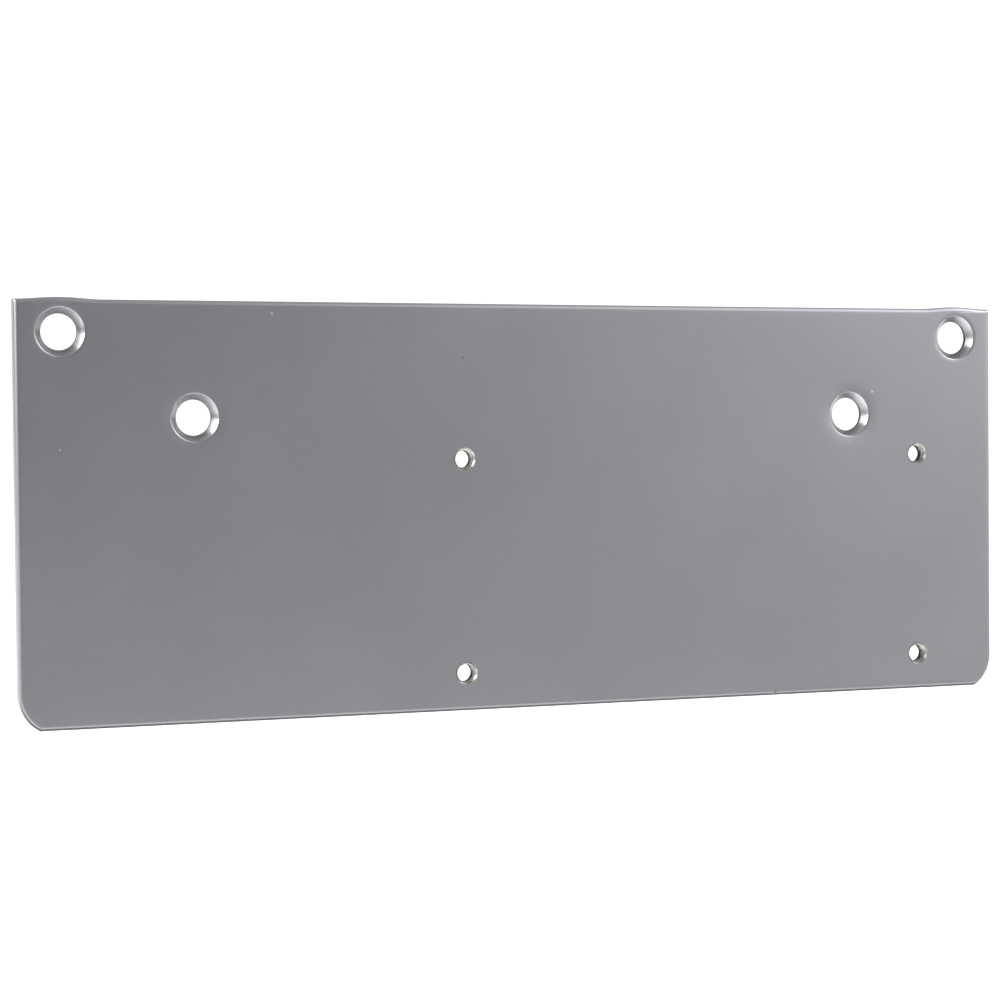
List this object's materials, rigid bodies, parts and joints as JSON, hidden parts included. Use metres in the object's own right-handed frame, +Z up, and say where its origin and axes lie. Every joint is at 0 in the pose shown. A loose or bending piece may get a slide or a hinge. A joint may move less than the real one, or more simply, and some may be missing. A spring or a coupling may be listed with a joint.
{
  "type": "door closer drop plate",
  "caption": "Flat steel mounting plate that lowers a surface door closer on a door with a narrow top rail, with countersunk door screw holes and tapped closer holes.",
  "frame": {"origin": "middle of the plate's back face, which lies against the door", "axes": "+X along the plate's length, to the right as seen from the front; +Y out of the back face, into the door; +Z up, towards the square-cornered top edge"},
  "size_m": [0.3112, 0.0048, 0.1212],
  "materials": {
    "painted_steel": "satin aluminium-grey sprayed paint, worn thin at the hole lips"
  },
  "bodies": {
    "root": {"drop_plate": "painted_steel"}
  },
  "joints": []
}
